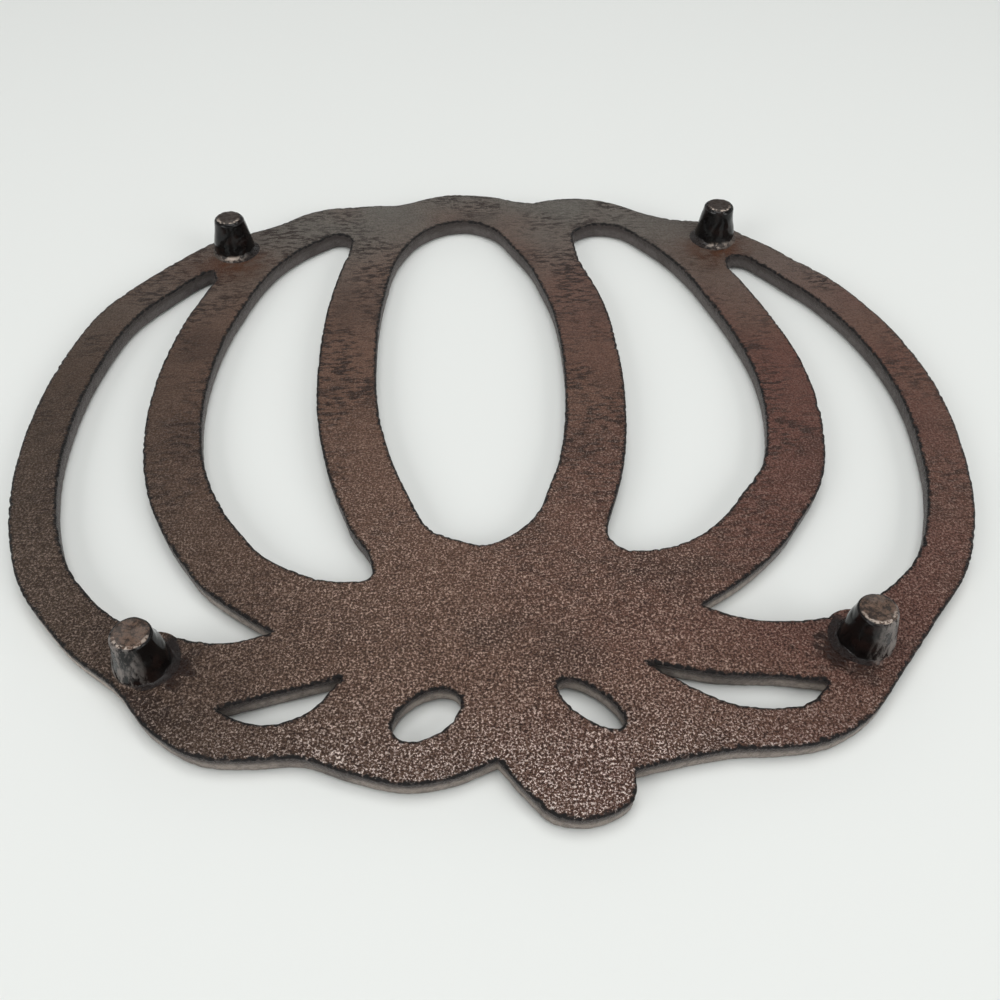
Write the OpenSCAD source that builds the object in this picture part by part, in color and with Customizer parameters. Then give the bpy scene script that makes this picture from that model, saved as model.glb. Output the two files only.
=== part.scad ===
// Pumpkin trivet: one openwork iron casting on four cast feet.
// It lies on its pot face, feet up, with the stem towards -Y.
// The origin is the middle of its outline, on the surface under the pot face.
// The casting is divided where its ribs meet the rim and the crown, so each named
// feature is a solid of its own, and neighbours meet face to face.

/* [Plate] */
// Overall width of the plate, across the two outer ribs
plate_w = 203; // [180:1:230]
// Overall depth of the plate, from the rim's crest to the stem's tip
plate_d = 186.5; // [165:1:210]
// Thickness of the plate
plate_t = 4.6; // [4:0.2:8]
// Radius of the rounded edge along the pot face
edge_r = 1.2; // [0.4:0.1:2]
// Draft of the side walls, in degrees from upright
draft_angle = 4; // [0:1:8]

/* [Ribs] */
// Width of the two outer ribs
outer_rib_w = 9.5; // [7:0.5:12]
// Width of the two middle ribs, halfway along
middle_rib_w = 12.4; // [9:0.2:15]
// Width of the two centre ribs, halfway along
centre_rib_w = 13.7; // [10:0.1:16]

/* [Leaf openings] */
// Length of the left oval
left_oval_l = 12.9; // [8:0.1:16]
// Width of the left oval
left_oval_w = 7.8; // [5:0.1:9]
// Length of the right oval
right_oval_l = 13.4; // [8:0.1:16]
// Width of the right oval
right_oval_w = 5.6; // [4:0.1:8]

/* [Feet] */
// Height of a foot above the underside of the plate
foot_h = 9.3; // [6:0.1:14]
// Diameter of a foot just above its fillet
foot_base_d = 10.2; // [8:0.2:11]
// Diameter of a foot at its tip
foot_tip_d = 7.5; // [5:0.1:8]
// Radius of the fillet round the root of a foot
foot_fillet_r = 1; // [0.5:0.1:1.5]
// Radius of the rounded edge of a foot's tip
foot_tip_r = 0.8; // [0.2:0.1:1]

/* [Smoothness] */
// Straight pieces between two points of a drawn curve
curve_steps = 4; // [2:1:8]
// Straight pieces round an oval opening
oval_steps = 32; // [16:4:64]
// Flats across the rounded pot-face edge
edge_steps = 3; // [1:1:6]
// Flats across the fillet and the rounded tip of a foot
foot_steps = 5; // [2:1:10]

/* [Hidden] */
$fn = 64;

// Every cut runs this far past the face it opens
overrun = 1;
// Inset of the pot face gained over the drafted part of the wall
draft_gap = (plate_t - edge_r) * tan(draft_angle);

iron_colour = [0.30, 0.23, 0.21];
foot_colour = [0.20, 0.15, 0.14];

// Marks a point where a drawn curve breaks instead of running through smoothly
corner = true;

// A share is a place on the plate: X over half the width, Y over half the depth.
// The outline runs anticlockwise, seen from the underside of the trivet.
far_right_share = [0.84, 0.575];
far_left_share = [-0.83, 0.62];
near_left_share = [-0.835, -0.55];
near_right_share = [0.88, -0.49];
stem_left_share = [-0.035, -0.88, corner];
stem_right_share = [0.19, -0.91, corner];

// Lobes of the far rim, from right to left
far_edge_shares = [
    [0.81, 0.61], [0.75, 0.69], [0.695, 0.75], [0.655, 0.795], [0.59, 0.825], [0.52, 0.84],
    [0.445, 0.875], [0.4, 0.91], [0.345, 0.945], [0.3, 0.96], [0.235, 0.965], [0.18, 0.955],
    [0.15, 0.945, corner], [0.11, 0.955], [0.05, 0.98], [-0.015, 0.995], [-0.075, 1],
    [-0.13, 0.985], [-0.185, 0.96], [-0.215, 0.95], [-0.275, 0.95], [-0.34, 0.945],
    [-0.395, 0.94], [-0.45, 0.92], [-0.545, 0.85], [-0.605, 0.82], [-0.68, 0.79], [-0.745, 0.725]];

// Round sides of the pumpkin, the left one downwards and the right one upwards
left_edge_shares = [
    [-0.92, 0.48], [-0.975, 0.285], [-1, 0.045], [-0.992, -0.145], [-0.955, -0.325], [-0.905, -0.45]];
right_edge_shares = [[0.955, -0.31], [0.99, -0.125], [1, 0.055], [0.975, 0.255], [0.925, 0.415]];

// Scalloped leaves on both sides of the stem, and the blunt stem between them
left_leaf_shares = [
    [-0.785, -0.61], [-0.69, -0.695], [-0.615, -0.79], [-0.525, -0.85], [-0.44, -0.86],
    [-0.36, -0.86], [-0.275, -0.895], [-0.185, -0.92], [-0.105, -0.91]];
stem_edge_shares = [[0.005, -0.94], [0.05, -0.99], [0.085, -1], [0.145, -0.99], [0.18, -0.965]];
right_leaf_shares = [
    [0.29, -0.89], [0.36, -0.88], [0.445, -0.88], [0.52, -0.87], [0.595, -0.83],
    [0.685, -0.73], [0.78, -0.615]];

// Middle lines of the inner ribs, from the far rim to the crown
left_middle_shares = [
    [-0.625, 0.54], [-0.665, 0.39], [-0.69, 0.205], [-0.69, 0.035], [-0.66, -0.15],
    [-0.595, -0.305], [-0.535, -0.4]];
left_centre_shares = [
    [-0.295, 0.615], [-0.315, 0.465], [-0.325, 0.27], [-0.315, 0.035], [-0.28, -0.15],
    [-0.235, -0.29]];
right_centre_shares = [
    [0.19, 0.615], [0.225, 0.44], [0.235, 0.25], [0.225, 0.035], [0.195, -0.15],
    [0.15, -0.29]];
right_middle_shares = [
    [0.585, 0.53], [0.63, 0.355], [0.66, 0.15], [0.65, -0.035], [0.61, -0.19],
    [0.515, -0.335]];

// A rib's width at its far and its near end, over its width halfway
middle_taper_shares = [0.95, 1.05];
centre_taper_shares = [0.97, 1.03];

// Far ends of the five large openings, each from its left rib to its right rib
far_end_shares = [
    [[-0.71, 0.615], [-0.685, 0.635], [-0.67, 0.605]],
    [[-0.49, 0.695], [-0.425, 0.765], [-0.365, 0.8], [-0.34, 0.78], [-0.34, 0.73]],
    [[-0.205, 0.7], [-0.14, 0.81], [-0.085, 0.845], [-0.03, 0.85], [0.03, 0.815], [0.08, 0.72]],
    [[0.245, 0.71], [0.25, 0.785], [0.305, 0.82], [0.36, 0.81], [0.43, 0.73]],
    [[0.625, 0.605], [0.64, 0.645], [0.67, 0.645], [0.705, 0.605]]];

// Near ends of the same openings, each from its left rib to its right rib
near_end_shares = [
    [[-0.7, -0.54], [-0.605, -0.58], [-0.495, -0.6], [-0.43, -0.58, corner], [-0.49, -0.535]],
    [[-0.395, -0.43], [-0.305, -0.46], [-0.255, -0.45], [-0.255, -0.415]],
    [[-0.14, -0.325], [-0.085, -0.36], [-0.035, -0.375], [0.025, -0.345]],
    [[0.21, -0.365], [0.235, -0.4], [0.285, -0.405], [0.36, -0.385]],
    [[0.455, -0.49], [0.36, -0.555, corner], [0.435, -0.59], [0.535, -0.6], [0.63, -0.58],
        [0.705, -0.535]]];

// Two slits between the leaves, anticlockwise from their outer tips
left_slit_shares = [
    [-0.505, -0.75, corner], [-0.465, -0.775], [-0.41, -0.785], [-0.355, -0.765],
    [-0.3, -0.695, corner], [-0.395, -0.72]];
right_slit_shares = [
    [0.24, -0.685, corner], [0.3, -0.735], [0.37, -0.78], [0.455, -0.795], [0.515, -0.78],
    [0.545, -0.745, corner], [0.465, -0.73], [0.36, -0.72]];

// Middles of the two ovals beside the stem, and how far they lean
left_oval_share = [-0.15, -0.78];
right_oval_share = [0.13, -0.77];
left_oval_turn = 35;
right_oval_turn = -43;

// Middles of the feet
foot_near_left_share = [-0.645, -0.645];
foot_near_right_share = [0.635, -0.655];
foot_far_left_share = [-0.635, 0.74];
foot_far_right_share = [0.613, 0.745];

function first(list) = list[0];
function last(list) = list[len(list) - 1];
function reversed(list) = [for (i = [len(list) - 1:-1:0]) list[i]];
function joined(lists) = [for (list = lists) for (item = list) item];
function unit(v) = v / norm(v);
function left_of(v) = [-v[1], v[0]];

// A share as a place in millimetres
function place(share) = [share[0] * plate_w / 2, share[1] * plate_d / 2];

// A drawn curve: a smooth line through places, which breaks where a share is a corner.
// The speed at a place follows both neighbours, weighted by how near they are.
function speed(before, here, after) =
    let (a = norm(here - before), b = norm(after - here))
    ((here - before) * b / a + (after - here) * a / b) / (a + b);
function blend(p, q, p_speed, q_speed, t) =
    let (gap = norm(q - p))
    p * (1 - t) * (1 - t) * (1 + 2 * t) + q * t * t * (3 - 2 * t)
    + gap * (p_speed * t * (1 - t) * (1 - t) - q_speed * t * t * (1 - t));
function arc_between(before, p, q, after, p_breaks, q_breaks) =
    let (p_speed = p_breaks ? unit(q - p) : speed(before, p, q))
    let (q_speed = q_breaks ? unit(q - p) : speed(p, q, after))
    [for (k = [0:curve_steps - 1]) blend(p, q, p_speed, q_speed, k / curve_steps)];

// An open curve through places, with one more place known beyond each end
function drawn(before, places, breaks, after) =
    let (line = concat([before], places, [after]))
    concat(
        joined([for (i = [1:len(places) - 1])
            arc_between(line[i - 1], line[i], line[i + 1], line[i + 2], breaks[i - 1], breaks[i])]),
        [last(places)]);
function breaks_in(shares) = [for (share = shares) len(share) > 2];
function stretch(before_share, shares, after_share) =
    drawn(place(before_share), [for (share = shares) place(share)], breaks_in(shares),
        place(after_share));

// A closed curve through shares
function loop(shares) =
    let (n = len(shares), breaks = breaks_in(shares))
    joined([for (i = [0:n - 1])
        arc_between(place(shares[(i + n - 1) % n]), place(shares[i]), place(shares[(i + 1) % n]),
            place(shares[(i + 2) % n]), breaks[i], breaks[(i + 1) % n])]);

// A line that runs beside another, on its left, at a distance that changes evenly
function beside(line, start_gap, end_gap) =
    let (n = len(line) - 1)
    [for (i = [0:n])
        let (along = line[min(i + 1, n)] - line[max(i - 1, 0)])
        line[i] + unit(left_of(along)) * (start_gap + (end_gap - start_gap) * i / n)];

// The outline in six stretches, anticlockwise
far_edge = stretch(last(right_edge_shares),
    concat([far_right_share], far_edge_shares, [far_left_share]), first(left_edge_shares));
left_edge = stretch(last(far_edge_shares),
    concat([far_left_share], left_edge_shares, [near_left_share]), first(left_leaf_shares));
left_leaf_edge = stretch(last(left_edge_shares),
    concat([near_left_share], left_leaf_shares, [stem_left_share]), first(stem_edge_shares));
stem_edge = stretch(last(left_leaf_shares),
    concat([stem_left_share], stem_edge_shares, [stem_right_share]), first(right_leaf_shares));
right_leaf_edge = stretch(last(stem_edge_shares),
    concat([stem_right_share], right_leaf_shares, [near_right_share]), first(right_edge_shares));
right_edge = stretch(last(right_leaf_shares),
    concat([near_right_share], right_edge_shares, [far_right_share]), first(far_edge_shares));

// The middle line of an inner rib, which starts and ends as straight as its end pieces
function middle_line(shares) =
    let (n = len(shares))
    stretch(2 * shares[0] - shares[1], shares, 2 * shares[n - 1] - shares[n - 2]);
function rib_edge(line, width, taper_shares) =
    beside(line, width / 2 * first(taper_shares), width / 2 * last(taper_shares));

left_middle_line = middle_line(left_middle_shares);
left_centre_line = middle_line(left_centre_shares);
right_centre_line = middle_line(right_centre_shares);
right_middle_line = middle_line(right_middle_shares);

// Both edges of each rib, left then right, from the far rim to the crown
left_outer_edges = [left_edge, beside(left_edge, outer_rib_w, outer_rib_w)];
left_middle_edges = [
    rib_edge(left_middle_line, -middle_rib_w, middle_taper_shares),
    rib_edge(left_middle_line, middle_rib_w, middle_taper_shares)];
left_centre_edges = [
    rib_edge(left_centre_line, -centre_rib_w, centre_taper_shares),
    rib_edge(left_centre_line, centre_rib_w, centre_taper_shares)];
right_centre_edges = [
    rib_edge(right_centre_line, -centre_rib_w, centre_taper_shares),
    rib_edge(right_centre_line, centre_rib_w, centre_taper_shares)];
right_middle_edges = [
    rib_edge(right_middle_line, -middle_rib_w, middle_taper_shares),
    rib_edge(right_middle_line, middle_rib_w, middle_taper_shares)];
right_outer_edges = [
    reversed(beside(right_edge, outer_rib_w, outer_rib_w)),
    reversed(right_edge)];
ribs = [left_outer_edges, left_middle_edges, left_centre_edges,
    right_centre_edges, right_middle_edges, right_outer_edges];

// The end of an opening: a curve that leaves one rib edge and runs into the next.
// Both edges are given from the end that the curve meets.
function opening_end(left_rib_edge, shares, right_rib_edge) =
    drawn(left_rib_edge[1],
        concat([first(left_rib_edge)], [for (share = shares) place(share)], [first(right_rib_edge)]),
        concat([false], breaks_in(shares), [false]),
        right_rib_edge[1]);
far_ends = [for (i = [0:len(ribs) - 2])
    opening_end(ribs[i][1], far_end_shares[i], ribs[i + 1][0])];
near_ends = [for (i = [0:len(ribs) - 2])
    opening_end(reversed(ribs[i][1]), near_end_shares[i], reversed(ribs[i + 1][0]))];

// An oval opening
function oval(middle, length, width, turn) =
    [for (k = [0:oval_steps - 1])
        let (a = 360 * k / oval_steps, x = length / 2 * cos(a), y = width / 2 * sin(a))
        middle + [x * cos(turn) - y * sin(turn), x * sin(turn) + y * cos(turn)]];
leaf_openings = [
    loop(left_slit_shares),
    loop(right_slit_shares),
    oval(place(left_oval_share), left_oval_l, left_oval_w, left_oval_turn),
    oval(place(right_oval_share), right_oval_l, right_oval_w, right_oval_turn)];

// The side of the casting, from the underside to the pot face, as inset and height
wall_profile = concat(
    [[0, plate_t]],
    [for (k = [0:edge_steps])
        let (a = 90 * k / edge_steps)
        [draft_gap + edge_r * (1 - cos(a)), edge_r * (1 - sin(a))]]);

// The way into the metal at each point of a piece's edges. Where two pieces meet,
// it follows the straight joint between them, so that both have the same end face.
function ways_in(edges, k) =
    let (n = len(edges), edge = edges[k], end = len(edge) - 1)
    let (before = last(edges[(k + n - 1) % n]), after = first(edges[(k + 1) % n]))
    [for (i = [0:end])
        i == 0 ? unit(before - edge[0])
        : i == end ? unit(after - edge[end])
        : unit(left_of(edge[i + 1] - edge[i - 1]))];

// The triangles that fill an outline, found by cutting off one ear after another.
// An ear is a corner that bulges outwards and holds no other point of the outline.
function turn(a, b, c) = (b[0] - a[0]) * (c[1] - a[1]) - (b[1] - a[1]) * (c[0] - a[0]);
function holds(a, b, c, p) =
    p != a && p != b && p != c && turn(a, b, p) >= 0 && turn(b, c, p) >= 0 && turn(c, a, p) >= 0;
function is_ear(outline, rest, i) =
    let (n = len(rest))
    let (a = outline[rest[(i + n - 1) % n]], b = outline[rest[i]], c = outline[rest[(i + 1) % n]])
    turn(a, b, c) > 0 && len([for (k = rest) if (holds(a, b, c, outline[k])) k]) == 0;
function next_ear(outline, rest, i) =
    i == len(rest) ? 0 : is_ear(outline, rest, i) ? i : next_ear(outline, rest, i + 1);
function without(list, i) = [for (k = [0:len(list) - 1]) if (k != i) list[k]];
function filling(outline) =
    [for (rest = [for (i = [0:len(outline) - 1]) i], ear = next_ear(outline, rest, 0);
            len(rest) > 2;
            rest = without(rest, ear), ear = next_ear(outline, rest, 0))
        let (n = len(rest))
        [rest[(ear + n - 1) % n], rest[ear], rest[(ear + 1) % n]]];

// An outline with each point moved along its own way by the inset
function moved(outline, ways, inset) = [for (i = [0:len(outline) - 1]) outline[i] + ways[i] * inset];

// A solid between rows of one outline. Each row of the profile gives an inset and a height.
module lofted(outline, ways, profile) {
    n = len(outline);
    rows = [for (row = profile) moved(outline, ways, row[0])];
    points = [for (r = [0:len(rows) - 1]) for (p = rows[r]) [p[0], p[1], profile[r][1]]];
    top = [for (triangle = filling(first(rows))) reversed(triangle)];
    bottom = [for (triangle = filling(last(rows)))
        [for (i = triangle) (len(rows) - 1) * n + i]];
    sides = [for (r = [0:len(rows) - 2]) for (i = [0:n - 1])
        let (next = (i + 1) % n)
        [r * n + i, r * n + next, (r + 1) * n + next, (r + 1) * n + i]];
    polyhedron(points, concat(top, sides, bottom));
}

// One piece of the plate: its free edges run anticlockwise, with straight joints between
module cast_piece(edges) {
    lofted(joined(edges), joined([for (k = [0:len(edges) - 1]) ways_in(edges, k)]), wall_profile);
}

// A cut through the plate, whose pot-face edge is rounded like the outside
module cast_opening(outline) {
    n = len(outline);
    ways = [for (i = [0:n - 1])
        -unit(left_of(outline[(i + 1) % n] - outline[(i + n - 1) % n]))];
    rows = concat([[0, plate_t + overrun]], wall_profile, [[last(wall_profile)[0], -overrun]]);
    lofted(outline, ways, rows);
}

module rib(edges) {
    color(iron_colour) cast_piece([edges[0], reversed(edges[1])]);
}

module far_rim() {
    color(iron_colour) cast_piece(concat([far_edge], far_ends));
}

module leaf_crown() {
    near_ends_back = [for (i = [len(near_ends) - 1:-1:0]) reversed(near_ends[i])];
    color(iron_colour) difference() {
        cast_piece(concat([left_leaf_edge, right_leaf_edge], near_ends_back));
        for (outline = leaf_openings) cast_opening(outline);
    }
}

module stem() {
    color(iron_colour) cast_piece([stem_edge]);
}

// A tapered round foot with a filleted root and a rounded tip
module foot(share) {
    base_r = foot_base_d / 2;
    tip_r = foot_tip_d / 2;
    fillet = [for (k = [0:foot_steps])
        let (a = 90 * k / foot_steps)
        [base_r + foot_fillet_r * (1 - sin(a)), foot_fillet_r * (1 - cos(a))]];
    tip = [for (k = [0:foot_steps])
        let (a = 90 * k / foot_steps)
        [tip_r - foot_tip_r * (1 - cos(a)), foot_h - foot_tip_r * (1 - sin(a))]];
    middle = place(share);
    color(foot_colour) translate([middle[0], middle[1], plate_t])
        rotate_extrude() polygon(concat([[0, 0]], fillet, tip, [[0, foot_h]]));
}

far_rim();
rib(left_outer_edges);  // left_outer_rib
rib(left_middle_edges);  // left_middle_rib
rib(left_centre_edges);  // left_centre_rib
rib(right_centre_edges);  // right_centre_rib
rib(right_middle_edges);  // right_middle_rib
rib(right_outer_edges);  // right_outer_rib
leaf_crown();
stem();
foot(foot_near_left_share);  // foot_near_left
foot(foot_near_right_share);  // foot_near_right
foot(foot_far_left_share);  // foot_far_left
foot(foot_far_right_share);  // foot_far_right
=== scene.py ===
# %% [markdown]
# # A cast-iron trivet, from a packed model to a finished casting
# A trivet keeps a hot pot off the table. This one is poured in iron, in the outline of a
# pumpkin, and lies here face down with its four feet in the air. The packed model holds the
# true sizes as plain, crisp solids. This lesson gives them the skin of a real casting: grain,
# rough arrises, softened corners, and a dark brown coat. Everything is in metres, in the
# frame of the packed model.

import bpy
import numpy as np
from mathutils import Euler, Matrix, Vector
from mathutils.geometry import delaunay_2d_cdt


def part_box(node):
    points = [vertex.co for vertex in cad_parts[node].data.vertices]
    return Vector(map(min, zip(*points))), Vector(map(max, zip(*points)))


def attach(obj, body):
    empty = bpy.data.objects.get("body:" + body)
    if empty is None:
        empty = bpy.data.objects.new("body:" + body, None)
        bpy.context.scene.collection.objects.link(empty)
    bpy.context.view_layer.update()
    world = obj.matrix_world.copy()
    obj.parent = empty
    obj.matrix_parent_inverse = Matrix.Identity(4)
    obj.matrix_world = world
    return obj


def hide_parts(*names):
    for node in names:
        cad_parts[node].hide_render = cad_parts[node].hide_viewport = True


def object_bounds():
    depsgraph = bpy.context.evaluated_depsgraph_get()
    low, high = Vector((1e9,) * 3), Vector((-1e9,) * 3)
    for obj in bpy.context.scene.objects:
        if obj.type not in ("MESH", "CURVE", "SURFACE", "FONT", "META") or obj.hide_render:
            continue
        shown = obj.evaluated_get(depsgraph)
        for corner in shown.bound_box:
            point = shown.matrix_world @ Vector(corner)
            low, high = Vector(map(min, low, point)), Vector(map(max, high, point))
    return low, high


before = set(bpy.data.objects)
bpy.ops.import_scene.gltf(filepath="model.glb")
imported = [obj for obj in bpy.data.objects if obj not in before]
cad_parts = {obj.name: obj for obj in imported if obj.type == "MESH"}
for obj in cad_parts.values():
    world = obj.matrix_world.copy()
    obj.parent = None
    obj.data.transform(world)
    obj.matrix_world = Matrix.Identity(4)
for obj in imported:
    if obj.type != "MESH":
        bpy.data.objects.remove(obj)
cad_low, cad_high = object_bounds()
MM = 0.001
FOOT_NODES = sorted(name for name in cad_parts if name.startswith("foot_"))
PLATE_NODES = sorted(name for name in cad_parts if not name.startswith("foot_"))
plate_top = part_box("leaf_crown")[1].z
print("plate nodes", len(PLATE_NODES), "feet", len(FOOT_NODES))
print("plate top", round(plate_top / MM, 2), "mm")

# %% [markdown]
# ## The camera
# A photograph fixes where its camera stood. The lens and the place below were found by laying
# the model's outline and feet over the photograph, so the render can be compared with it. The
# small shift says that the optical axis passes a little beside the middle of the picture.

# %% Put the camera where the photograph was taken from
CAMERA_PLACE = (-0.00916, -0.16688, 0.16049)
CAMERA_TURN_DEG = (42.663, -0.267, -2.911)
CAMERA_LENS_MM = 37.41
CAMERA_SENSOR_MM = 36
CAMERA_SHIFT = 0.0058
CAMERA_CLIP_START = 10 * MM

camera_data = bpy.data.cameras.new("camera")
camera_data.lens = CAMERA_LENS_MM
camera_data.sensor_width = CAMERA_SENSOR_MM
camera_data.shift_x = CAMERA_SHIFT
camera_data.clip_start = CAMERA_CLIP_START
camera = bpy.data.objects.new("camera", camera_data)
camera.location = CAMERA_PLACE
camera.rotation_euler = Euler([np.radians(angle) for angle in CAMERA_TURN_DEG])
bpy.context.scene.collection.objects.link(camera)
bpy.context.scene.camera = camera
print("camera", CAMERA_PLACE)

# %% [markdown]
# ## Irregularity
# Sand, iron and a coat of lacquer are never even. A texture could paint that on, but a surface
# that is truly uneven catches the light the same way from every side. The helper adds up many
# plane waves that run in random directions, with lengths between two limits. The sum has no
# grid and no seam, because it depends only on where a point is.

# %% A field of waves
def waves(points, shortest, longest, seed, count=48):
    """At each point, the sum of cosines of (wave vector times place plus phase), scaled to a
    spread of about 1. The wave lengths lie evenly between shortest and longest."""
    random = np.random.default_rng(seed)
    size = points.shape[1]
    ways = random.normal(size=(count, size))
    ways /= np.linalg.norm(ways, axis=1)[:, None]
    lengths = random.uniform(shortest, longest, count)
    phases = random.uniform(0, 2 * np.pi, count)
    vectors = ways * (2 * np.pi / lengths)[:, None]
    return np.cos(points @ vectors.T + phases).sum(1) * np.sqrt(2 / count)


print("waves at the origin", round(float(waves(np.zeros((1, 3)), 0.001, 0.002, 1)[0]), 3))

# %% [markdown]
# ## Reading the outlines
# The packed plate is nine solids that meet at straight joints. On the real trivet there are no
# such joints, so the outline is read for the whole casting at once. The flat underside of each
# solid is a set of triangles. An edge that one triangle uses in one direction and no triangle
# uses in the other is on a border. A border edge that a neighbour uses the other way round is
# a joint, and every other one is free. Metal always lies on the left of a border edge.

# %% Border edges of every plate node
MICRON = 1e-6


def border_edges(node):
    """Border edges of the flat underside as pairs of whole-micron places, start then end."""
    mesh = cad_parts[node].data
    mesh.calc_loop_triangles()
    places = np.zeros(len(mesh.vertices) * 3, np.float32)
    mesh.vertices.foreach_get("co", places)
    places = places.reshape(-1, 3).astype(float)
    corners = np.zeros(len(mesh.loop_triangles) * 3, np.int32)
    mesh.loop_triangles.foreach_get("vertices", corners)
    triangles = places[corners.reshape(-1, 3)]
    flat = (triangles[:, :, 2] > plate_top - MICRON).all(1)
    flats = np.round(triangles[flat][:, :, :2] / MICRON).astype(np.int64)
    edges = np.concatenate([flats[:, [0, 1]], flats[:, [1, 2]], flats[:, [2, 0]]]).reshape(-1, 4)
    both_ways = np.concatenate([edges, edges[:, [2, 3, 0, 1]]])
    _, first, counts = np.unique(both_ways, axis=0, return_index=True, return_counts=True)
    single = np.sort(first[(counts == 1) & (first < len(edges))])
    return edges[single].reshape(-1, 2, 2)


node_borders = {node: border_edges(node) for node in PLATE_NODES}
every_edge = np.concatenate([node_borders[node] for node in PLATE_NODES])
corner_places, edge_ids = np.unique(every_edge.reshape(-1, 2), axis=0, return_inverse=True)
edge_ids = edge_ids.reshape(-1, 2)
edge_places = corner_places * MICRON
splits = np.cumsum([len(node_borders[node]) for node in PLATE_NODES])[:-1]
node_edges = dict(zip(PLATE_NODES, np.split(edge_ids, splits)))
edge_codes = edge_ids[:, 0] * len(edge_places) + edge_ids[:, 1]
back_codes = edge_ids[:, 1] * len(edge_places) + edge_ids[:, 0]
free_edges = edge_ids[~np.isin(edge_codes, back_codes)]
print("border edges", len(edge_ids), "of which free", len(free_edges))

# %% [markdown]
# ## Putting the edges in order
# The free edges come in no order. Each one says which corner follows which. Instead of walking
# from corner to corner, the list doubles each round: whatever follows so many steps on is
# looked up for the whole list at once.

# %% Closed loops
def in_order(following, start):
    """The closed walk from start, found by doubling the length of the jump each round."""
    walk, jump = np.array([start]), following
    while True:
        walk = np.concatenate([walk, jump[walk]])
        back = np.flatnonzero(walk[1:] == start)
        if len(back):
            return walk[:back[0] + 1]
        jump = jump[jump]


def all_loops(edges):
    """Every closed loop that the edges make, each as a list of corner numbers."""
    following = np.arange(len(edge_places))
    following[edges[:, 0]] = edges[:, 1]
    left, loops = np.unique(edges[:, 0]), []
    while len(left):
        loops.append(in_order(following, left[0]))
        left = np.setdiff1d(left, loops[-1])
    return loops


casting_loops = all_loops(free_edges)
print("outline and openings", sorted(len(loop) for loop in casting_loops))

# %% [markdown]
# ## A fine outline
# The packed outline has straight pieces 2 to 4 mm long. They are drawn again as smooth curves
# through the same corners. Real corners, such as the tips of the slits and the notches beside
# the stem, turn sharply and stay sharp. The way into the metal is square to the curve.

# %% Redraw each loop as a smooth curve
FINE = 0.42 * MM
CORNER_TURN_DEG = 34


def fine_loop(corners):
    """Hermite curves between neighbouring places. The speed at a place is the mean of both
    chords' directions, each weighted by the other chord's length, and is one-sided at a real
    corner. Returns the points, the ways into the metal and where each corner's points start."""
    here = edge_places[corners]
    after = np.roll(here, -1, 0)
    chord = after - here
    length = np.linalg.norm(chord, axis=1)
    heading = chord / length[:, None]
    heading_in, length_in = np.roll(heading, 1, 0), np.roll(length, 1)
    both = (length + length_in)[:, None]
    speed = (heading_in * length[:, None] + heading * length_in[:, None]) / both
    sharp = (heading * heading_in).sum(1) < np.cos(np.radians(CORNER_TURN_DEG))
    leaving = np.where(sharp[:, None], heading, speed)
    arriving = np.where(sharp[:, None], heading_in, speed)
    parts = np.ceil(length / FINE).astype(int)
    owner = np.repeat(np.arange(len(corners)), parts)
    starts = np.cumsum(parts) - parts
    t = ((np.arange(parts.sum()) - starts[owner]) / parts[owner])[:, None]
    following = (owner + 1) % len(corners)
    reach = length[owner][:, None]
    points = (
        here[owner] * (1 - t) ** 2 * (1 + 2 * t) + here[following] * t ** 2 * (3 - 2 * t)
        + reach * (leaving[owner] * t * (1 - t) ** 2 - arriving[following] * t ** 2 * (1 - t)))
    along = np.roll(points, -1, 0) - np.roll(points, 1, 0)
    inward = np.stack([-along[:, 1], along[:, 0]], 1) / np.linalg.norm(along, axis=1)[:, None]
    return points, inward, starts, int(sharp.sum())


outline_points, outline_ways, fine_start, fine_next = [], [], {}, {}
sharp_corners, total = 0, 0
for loop in casting_loops:
    points, inward, starts, sharp = fine_loop(loop)
    outline_points.append(points)
    outline_ways.append(inward)
    ends = np.append(starts[1:], len(points))
    fine_start.update(zip(loop.tolist(), (starts + total).tolist()))
    fine_next.update(zip(loop.tolist(), (ends + total).tolist()))
    sharp_corners += sharp
    total += len(points)
outline_points = np.concatenate(outline_points)
outline_ways = np.concatenate(outline_ways)
print("fine outline points", total, "sharp corners", sharp_corners)

# %% [markdown]
# ## The side wall
# Seen from the side, the casting has a small worn arris at the underside, a drafted wall that
# let it leave the sand, and a round edge along the pot face. The arris is ragged where the sand
# crumbled, and gets smoother down the wall. Every row only moves from the fine outline into the
# metal, so the finished casting stays inside the packed model's box.

# %% Profile rows and their raggedness
ARRIS_R = 0.4 * MM
DRAFT_DEG = 4
POT_EDGE_R = 1.2 * MM
WALL_STEP = 0.45 * MM
RAGGED = 0.24 * MM
RAGGED_DEPTH = 0.8 * MM
WALL_ROUGH = 0.03 * MM
SKIN_LOSS = 0.04 * MM
ARRIS_SHARES = (0.32, 0.08, 0.0)
POT_EDGE_TURN_DEG = 18
# Each set of waves in this lesson is written as the shortest, the longest and the seed.
CRUMBS = (1.0 * MM, 3.5 * MM, 11)
CHIPS = (2 * MM, 6 * MM, 12)
MOOD = (12 * MM, 40 * MM, 14)
SAND = (0.8 * MM, 3 * MM, 13)

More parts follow.
